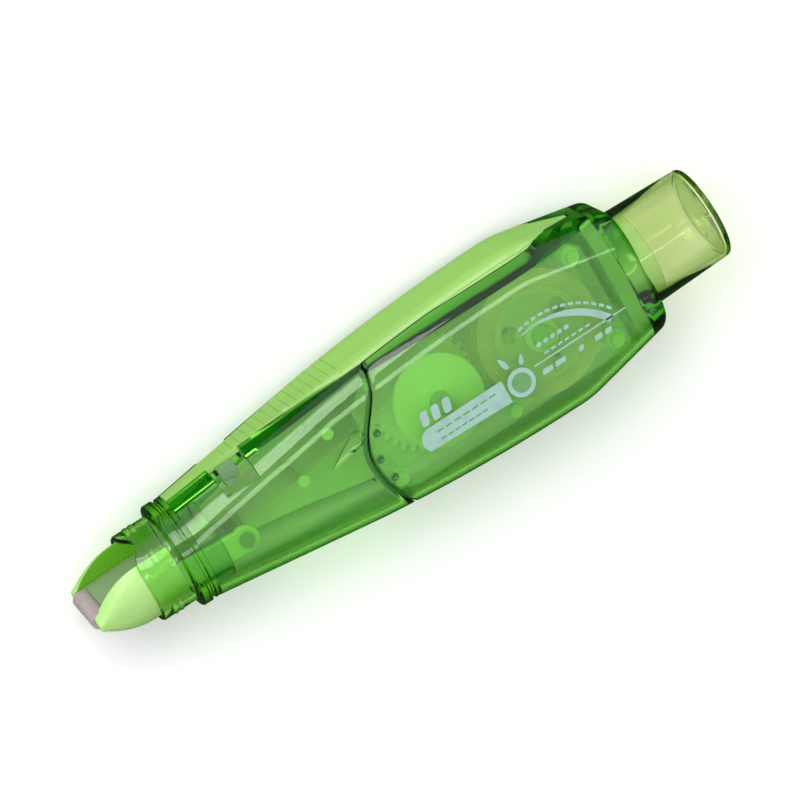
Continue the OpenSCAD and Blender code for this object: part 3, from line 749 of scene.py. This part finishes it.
def latch_hooks():
    """A tab each side from the strip into its window, with a leg down inside and a foot."""
    for name, side in (("latch_hook_near", 1), ("latch_hook_far", -1)):
        parts = []
        for length, y0, y1, z0, z1 in ((3.4, 10.2, 10.8, 2.4, 4.9), (3.4, 7.6, 10.6, 3.9, 4.9),
                                       (1.6, 7.4, 8.4, 4.1, 6.8)):
            x0, x1 = WINDOW_X - 2, WINDOW_X - 2 + length
            low, high = sorted((side * z0, side * z1))
            parts.append(make(name, *prism(box_outline(x0, x1, y0, y1), low, high), smooth=False))
        join_in(*parts)
        soften(parts[0], 0.07, 30, 1)
        # the hooks' dark green is painted shade
        finish_piece(parts[0], "front_casing", SHADED_HOOK, "opaque_green")


# ------------------------------------------------------------------ nose, cap and plug
def nose_collar_turned():
    """The turned neck with its rings, flange and bead, and the plug that enters the front casing."""
    length = CASING_FRONT_X - NECK_FRONT_X
    flange = FLANGE_FRONT_X - NECK_FRONT_X
    bore = 7.9
    raw = [(bore, 0.3), (bore + 0.3, 0), (NECK_R - 0.3, 0), (NECK_R, 0.35)]
    for centre, rise in ((2.9, 0.15), (4.1, 0.15)):
        raw += [(NECK_R, centre - 0.45), (NECK_R + rise, centre - 0.15),
                (NECK_R + rise, centre + 0.15), (NECK_R, centre + 0.45)]
    raw += [(NECK_R, flange - 0.35), (NECK_R + 0.35, flange - 0.05), (10.3, flange),
            (10.6, flange + 0.3), (10.6, flange + 2.0), (10.1, flange + 2.2), (10.1, flange + 2.7),
            (10.5, flange + 2.9), (10.5, length - 0.05), (9.1, length - 0.05), (9.1, length + 3.8),
            (8.7, length + 4.2), (bore, length + 4.2)]
    profile = [(r, NECK_FRONT_X + x) for r, x in raw]
    scoop = TIP_TURN + math.radians(10)

    def bend(p, a):
        """Scoops the rim above the tape."""
        off = (a - scoop + math.pi) % (2 * math.pi) - math.pi
        depth = 2.3 * math.exp(-(off / 0.30) ** 2)
        fade = clamp((NECK_FRONT_X + 2.4 - p[0]) / 2.4)
        return (p[0] + depth * fade, p[1], p[2])

    obj = make("nose_collar_turned", *lathe(profile, 192, bend))
    flat_y = FRONT_HALF_HEIGHT - SPINE_DEPTH - WALL - 0.1
    flat = box_outline(CASING_FRONT_X - 0.1, CASING_FRONT_X + 9.9, flat_y, flat_y + 10)
    cut(obj, make("flat", *prism(flat, -15, 15), smooth=False))
    shade(obj.data)
    return finish_piece(obj, "front_casing", NECK, "pale_clear", "nose_collar")


def cap_radius(x):
    """Outer radius of the cap, which narrows towards its end."""
    return CAP_MOUTH_R + (CAP_END_R - CAP_MOUTH_R) * (x - CAP_MOUTH_X) / (CAP_END_X - CAP_MOUTH_X)


def cap_shell():
    """The cap: a thin tube with a rounded end wall and two vent slots."""
    end_wall, round_r = 1.0, 0.8
    inner_end = CAP_END_X - end_wall
    profile = [(0.0, inner_end), (cap_radius(inner_end) - CAP_WALL - 0.4, inner_end),
               (cap_radius(inner_end) - CAP_WALL, inner_end - 0.4),
               (CAP_MOUTH_R - CAP_WALL, CAP_MOUTH_X + 0.3), (CAP_MOUTH_R - CAP_WALL + 0.2, CAP_MOUTH_X),
               (CAP_MOUTH_R - 0.2, CAP_MOUTH_X), (CAP_MOUTH_R, CAP_MOUTH_X + 0.25)]
    profile += [(cap_radius(x), x) for x in (CAP_MOUTH_X + 5, CAP_MOUTH_X + 10, CAP_MOUTH_X + 15)]
    profile += [(CAP_END_R - round_r + round_r * math.cos(a),
                 CAP_END_X - round_r + round_r * math.sin(a))
                for a in (math.radians(15 * k) for k in range(7))]
    profile += [(0.0, CAP_END_X)]
    obj = make("cap_shell", *lathe(profile, 192))
    slots = []
    for turn in (30, 210):
        arc = [math.radians(turn + 50 * k / 12) for k in range(13)]
        ring = [(5.6, a) for a in arc] + [(6.9, a) for a in reversed(arc)]
        n = len(ring)
        points = [(x, r * math.cos(a), r * math.sin(a)) for x in (inner_end - 1, CAP_END_X + 1)
                  for r, a in ring]
        faces = [(i, (i + 1) % n, n + (i + 1) % n, n + i) for i in range(n)]
        slots.append(make("slot", points, faces + [tuple(range(n)), tuple(range(2 * n - 1, n - 1, -1))],
                          smooth=False))
    cut(obj, *slots)
    shade(obj.data)
    return finish_piece(obj, "cap", PALE, "pale_clear", "cap")


def end_plug_stub():
    """Bulkhead across the casing's rear and the hollow stub that holds the posted cap."""
    inset = WALL + 0.1
    bulk = make("end_plug_stub", *loft([body_ring(x, inset, DECK_Y[0] - 0.1)
                                        for x in (BULKHEAD_X, BULKHEAD_X + 1, SOCKET_X - 0.2)]))
    r, x0 = 8.85, SOCKET_X - 0.4
    profile = [(r, x0), (r, STUB_END_X - 0.3), (r - 0.3, STUB_END_X), (r - 0.8, STUB_END_X),
               (r - 1.0, STUB_END_X - 0.2), (r - 1.0, SOCKET_X + 0.8), (0.0, SOCKET_X + 0.8), (0.0, x0)]
    join_in(bulk, make("stub", *lathe(profile, 128)))
    shade(bulk.data)
    return finish_piece(bulk, "rear_casing", PLUG, "green_casing", "end_plug")


# ------------------------------------------------------------------ tip
def turned(points):
    """Points turned with the tip about the pen's axis."""
    c, s = math.cos(TIP_TURN), math.sin(TIP_TURN)
    return [(x, y * c - z * s, y * s + z * c) for x, y, z in points]


def tip_part(x):
    """0 at the roller, 1 just inside the neck."""
    return clamp((x - ROLLER_X) / (NECK_FRONT_X + 1 - ROLLER_X))


def tip_ring(x, s):
    """A ring of the tip's outer form at x, drawn in to the share s at the nose."""
    xr = max(x, ROLLER_X)
    power = 0.55 + 0.45 * tip_part(xr)
    thick = 1.9 + 5.8 * math.sin(math.pi / 2 * tip_part(xr) ** 0.85)
    width = 6.6 + 1.1 * math.sin(math.pi / 2 * tip_part(xr))
    ring = []
    for i in range(72):
        a = 2 * math.pi * i / 72
        c, d = math.cos(a), math.sin(a)
        ring.append((x, thick * s * math.copysign(abs(c) ** power, c),
                     width * (0.9 + 0.1 * s) * math.copysign(abs(d) ** power, d)))
    return ring


def tip_cheeks():
    """The two cheeks that hold the tape between them, and the arm behind each that carries the pin."""
    back = FLANGE_FRONT_X - 1
    nose = [(ROLLER_X - 0.95 * math.sin(a), 0.4 + 0.6 * math.cos(a))
            for a in (math.radians(d) for d in (88, 80, 70, 60, 50, 40, 30, 20, 10))]
    stations = nose + [(ROLLER_X + (NECK_FRONT_X + 1.4 - ROLLER_X) * k / 16, 1.0) for k in range(17)]
    stations += [(back, 1.0)]
    points, faces = loft([tip_ring(x, s) for x, s in stations])
    obj = make("tip_cheeks", turned(points), faces)
    cutters = []
    for box in ((TIP_X - 1, TIP_X + 29, 0.9, 21), (TIP_X - 1, TIP_X + 29, -21, -0.9),
                (TIP_X - 2, TIP_X + 3.6, -3, 3)):
        points, faces = prism(box_outline(*box), -CHEEK_IN, CHEEK_IN)
        cutters.append(make("slot", turned(points), faces, smooth=False))
    cut(obj, *cutters)
    soften(obj, 0.22, 40, 3)
    finish_piece(obj, "cartridge", TIP, "tip_green", "tip_carrier")
    stem_x, stem_y = 0.5 * sum(span("stem_pin")), 0.5 * sum(span("stem_pin", 1))
    for name, z0, z1 in (("tip_arm_near", 4.7, 6.0), ("tip_arm_far", -6.1, -4.7)):
        outline = [(back - 2, -4.2)] + [(stem_x + 2.6 * math.cos(a), stem_y + 2.6 * math.sin(a))
                                        for a in (math.radians(-110 + 11 * k) for k in range(22))]
        outline += [(back - 2, 0.4)]
        arm = make(name, *prism(outline, z0, z1), smooth=False)
        hole = [(stem_x + 0.95 * math.cos(a), stem_y + 0.95 * math.sin(a))
                for a in (2 * math.pi * k / 40 for k in range(40))]
        cut(arm, make("hole", *prism(hole, -9, 9), smooth=False))
        soften(arm, 0.22, 40, 3)
        finish_piece(arm, "cartridge", TIP, "tip_green")


# ------------------------------------------------------------------ small details on the casings
def grip_bumps():
    """Three small ringed bumps behind the seam."""
    for k, (x, y) in enumerate(((-7.0, 2.2), (-8.8, -2.4), (-8.1, -6.7))):
        ring = ((0.78, 0.0), (0.74, 0.16), (0.6, 0.26), (0.46, 0.2), (0.34, 0.08), (0.1, 0.05))
        bump = make("grip_bump_%d" % (k + 1), *turned_bump(x, y, HALF_THICK - 0.02, ring))
        finish_piece(bump, "rear_casing", BUMP, "green_casing")


def print_piece(name, outline, lift=0.0, material=PRINT):
    """A flat printed shape on the near face; lift raises it over another."""
    obj = make(name, *prism(outline, HALF_THICK + 0.004 + lift, HALF_THICK + 0.05 + lift), smooth=False)
    return finish_piece(obj, "rear_casing", material)


def block(x, y, w, h, lean=0.0, r=0.25):
    """A rounded block about (x, y), w long and h tall, leaning forward by lean."""
    points = []
    for q, (sx, sy) in enumerate(((1, 1), (-1, 1), (-1, -1), (1, -1))):
        for k in range(5):
            a = math.pi / 2 * (q + k / 4)
            px, py = sx * (w / 2 - r) + r * math.cos(a), sy * (h / 2 - r) + r * math.sin(a)
            points.append((x + px + lean * py, y + py))
    return points


def printed_marks():
    """Generic printed shapes on the near face: a bar, a disc, a line, a crescent, rays and dashes."""
    def arc(cx, cy, r, d0, d1, n=24):
        return [(cx + r * math.cos(math.radians(d0 + (d1 - d0) * k / n)),
                 cy + r * math.sin(math.radians(d0 + (d1 - d0) * k / n))) for k in range(n + 1)]

    print_piece("print_bar", arc(1.6, -4.7, 2.3, 90, 230, 16) + [(17.6, -7.0), (17.6, -2.4)])
    for row, y, step in (("a", -3.9, 1.9), ("b", -5.5, 1.5)):
        for k in range(7):
            dash = block(3.4 + step * k, y, 0.75 * step, 0.32, 0.2, 0.1)
            print_piece("print_bar_%s%d" % (row, k + 1), dash, 0.03, PRINT_DARK)
    print_piece("print_disc", arc(20.8, -4.8, 2.75, 0, 352, 44))
    print_piece("print_disc_centre", arc(20.8, -4.8, 1.9, 0, 352, 44), 0.03, PRINT_DARK)
    print_piece("print_line", [(24.3, -3.75), (44.4, -3.75), (44.4, -3.45), (24.3, -3.45)])
    cx, cy, r = 28.9, -12.05, 15.35
    crescent = arc(cx, cy, r, 104.7, 33.4, 48)
    thick = [(p[0] - w * (p[0] - cx) / r, p[1] - w * (p[1] - cy) / r)
             for p, w in ((p, 0.2 + 1.15 * math.sin(math.pi / 2 * clamp(k / 34)) ** 2)
                          for k, p in enumerate(crescent))]
    print_piece("print_crescent", crescent + thick[::-1])
    for name, x, y, w, h, lean in (("print_ray_a", 19.4, 0.1, 0.5, 1.4, 20),
                                   ("print_ray_b", 22.8, -1.0, 0.45, 1.0, -25)):
        c, s = math.cos(math.radians(lean)), math.sin(math.radians(lean))
        leaf = [(w * math.cos(a) * (1 - 0.45 * math.sin(a)), h * math.sin(a))
                for a in (2 * math.pi * k / 24 for k in range(24))]
        print_piece(name, [(x + a * c - b * s, y + a * s + b * c) for a, b in leaf])
    for k, x in enumerate((1.9, 4.3, 6.7)):
        print_piece("print_block_%d" % (k + 1), block(x, -0.5, 1.6, 2.8, 0.2, 0.6))
    for k, (x, w) in enumerate(((26.2, 2.2), (29.0, 2.2), (33.6, 1.1), (37.4, 1.6), (39.6, 1.4))):
        print_piece("print_size_%d" % (k + 1), block(x, -5.5, w, 1.0, 0.25))
    for k in range(5):
        print_piece("print_upper_%d" % (k + 1), block(27.0 + 1.5 * k, -0.5, 0.95, 0.8, 0.2))
    for k in range(7):
        print_piece("print_lower_%d" % (k + 1), block(27.6 + 1.5 * k, -2.5, 1.0, 0.4, 0.2, 0.12))
    for k in range(13):
        a0 = 104.0 - 5.3 * k
        dash = arc(cx, cy, r + 1.3, a0, a0 - 3.6, 4) + arc(cx, cy, r + 0.75, a0 - 3.6, a0, 4)
        print_piece("print_dash_%d" % (k + 1), dash)


# ------------------------------------------------------------------ the pieces
front_casing_shell()
rear_casing_shell()
seam_lip()
spine_strip()
latch_hooks()
nose_collar_turned()
cap_shell()
end_plug_stub()
tip_cheeks()
grip_bumps()
printed_marks()

CARRIED = {
    "base_plate": FRAME, "cover_plate": COVER, "guide_pins": FRAME, "stem_pin": PIN,
    "roller_pin": STEEL, "feed_tape": FREE_TAPE, "return_tape": FREE_TAPE,
    "supply_gear": NATURAL, "clutch_ring": CLUTCH, "supply_core": NATURAL,
    "supply_tape": SUPPLY_TAPE, "supply_flange": FLANGE,
    "takeup_gear": DISC, "takeup_disc": DISC, "takeup_tape": TAKEUP_TAPE, "tip_roller": ROLLER,
}
for node, material in CARRIED.items():
    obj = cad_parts[node]
    obj.data.materials.clear()
    obj.data.materials.append(material)

# ------------------------------------------------------------------ floor, light and camera
FLOOR_HALF = 900
floor = make("floor", [(x, y, -HALF_THICK) for x, y in
                       box_outline(-FLOOR_HALF, FLOOR_HALF, -FLOOR_HALF, FLOOR_HALF)],
             [(0, 1, 2, 3)], smooth=False)
floor.location.z = -0.0002
pale = Nodes("floor_pale")
matt = pale.principled(Roughness=0.9, Specular_IOR_Level=0.1)
even = pale.mix(pale.remap(pale.noise(6, 2.0), 0.0, 1.0), (0.93, 0.93, 0.93, 1), (0.95, 0.95, 0.95, 1))
# the clear edges get dark rims because the floor is dark where the plastic mirrors it
path = pale.add("ShaderNodeLightPath").outputs
mirrored = pale.math("SUBTRACT", path["Is Glossy Ray"], path["Is Transmission Ray"])
pale.link(pale.mix(mirrored, even, (0.04, 0.09, 0.03, 1)), matt.inputs["Base Color"])
floor.data.materials.append(pale.surface(matt.outputs[0]))

# side and rise are the camera's right and up before it rolls by SLANT
SLANT = math.radians(33.05)
side = Vector((0.9863, 0.0537, 0.1560))
rise = Vector((0.0, 0.9455, -0.3256))
right = (math.cos(SLANT) * side - math.sin(SLANT) * rise).normalized()
up = (math.sin(SLANT) * side + math.cos(SLANT) * rise).normalized()
back = right.cross(up).normalized()
up = back.cross(right)

DISTANCE, SEEN_WIDTH, SENSOR = 1.2, 0.1459, 36.0
SHIFT_RIGHT, SHIFT_UP = 0.00073, 0.0020
target = Vector((0, 0, AXIS_Z * MM)) + right * SHIFT_RIGHT + up * SHIFT_UP
camera_data = bpy.data.cameras.new("camera")
camera_data.sensor_width = SENSOR
camera_data.lens = SENSOR * DISTANCE / SEEN_WIDTH
camera_data.clip_start, camera_data.clip_end = 0.05, 20.0
camera = link("camera", camera_data)
camera.matrix_world = Matrix.Translation(target + back * DISTANCE) @ Matrix(
    (right, up, back)).transposed().to_4x4()
bpy.context.scene.camera = camera


def softbox(name, toward, distance, size, size_y, power):
    """A rectangular lamp that looks at the pen from the direction toward."""
    data = bpy.data.lights.new(name, "AREA")
    data.shape, data.size, data.size_y = "RECTANGLE", size, size_y
    data.energy = power
    lamp = link(name, data)
    centre = Vector((0, 0, AXIS_Z * MM))
    lamp.location = centre + toward.normalized() * distance
    lamp.rotation_euler = (-toward).to_track_quat("-Z", "Y").to_euler()


softbox("key", Vector((-0.25, 0.75, 0.8)), 0.7, 0.5, 0.35, 2.6)
softbox("fill", Vector((0.2, -0.8, 0.7)), 0.8, 0.6, 0.3, 0.12)
softbox("front", Vector((-1.0, 0.1, 0.55)), 0.7, 0.3, 0.4, 0.55)
softbox("top", Vector((0.1, 0.15, 1.0)), 0.9, 0.5, 0.12, 0.7)

scene = bpy.context.scene
world = scene.world or bpy.data.worlds.new("world")
scene.world = world
world.use_nodes = True
# the room is brighter overhead and on the spine's side; the camera itself sees it white
SIDE_SHARE = 0.45
ROOM = (("From Min", 0.1), ("From Max", 0.6), ("To Min", 0.08), ("To Max", 0.95))
nodes, links = world.node_tree.nodes, world.node_tree.links
sky = nodes["Background"]
sky.inputs["Color"].default_value = (1, 1, 1, 1)
way = nodes.new("ShaderNodeTexCoord")
height = nodes.new("ShaderNodeSeparateXYZ")
links.new(way.outputs["Generated"], height.inputs[0])
fade = nodes.new("ShaderNodeMapRange")
for socket, value in ROOM:
    fade.inputs[socket].default_value = value
lean = nodes.new("ShaderNodeMath")
lean.operation = "MULTIPLY_ADD"
lean.inputs[1].default_value = SIDE_SHARE
links.new(height.outputs["Y"], lean.inputs[0])
links.new(height.outputs["Z"], lean.inputs[2])
links.new(lean.outputs[0], fade.inputs["Value"])
seen = nodes.new("ShaderNodeMath")
seen.operation = "MAXIMUM"
links.new(fade.outputs["Result"], seen.inputs[0])
links.new(nodes.new("ShaderNodeLightPath").outputs["Is Camera Ray"], seen.inputs[1])
links.new(seen.outputs[0], sky.inputs["Strength"])
scene.view_settings.view_transform = "Standard"
scene.cycles.max_bounces = 40
scene.cycles.transmission_bounces = 36
scene.cycles.transparent_max_bounces = 32
scene.cycles.glossy_bounces = 12
scene.cycles.diffuse_bounces = 4
scene.cycles.caustics_refractive = False
scene.cycles.caustics_reflective = False
scene.cycles.sample_clamp_indirect = 6.0
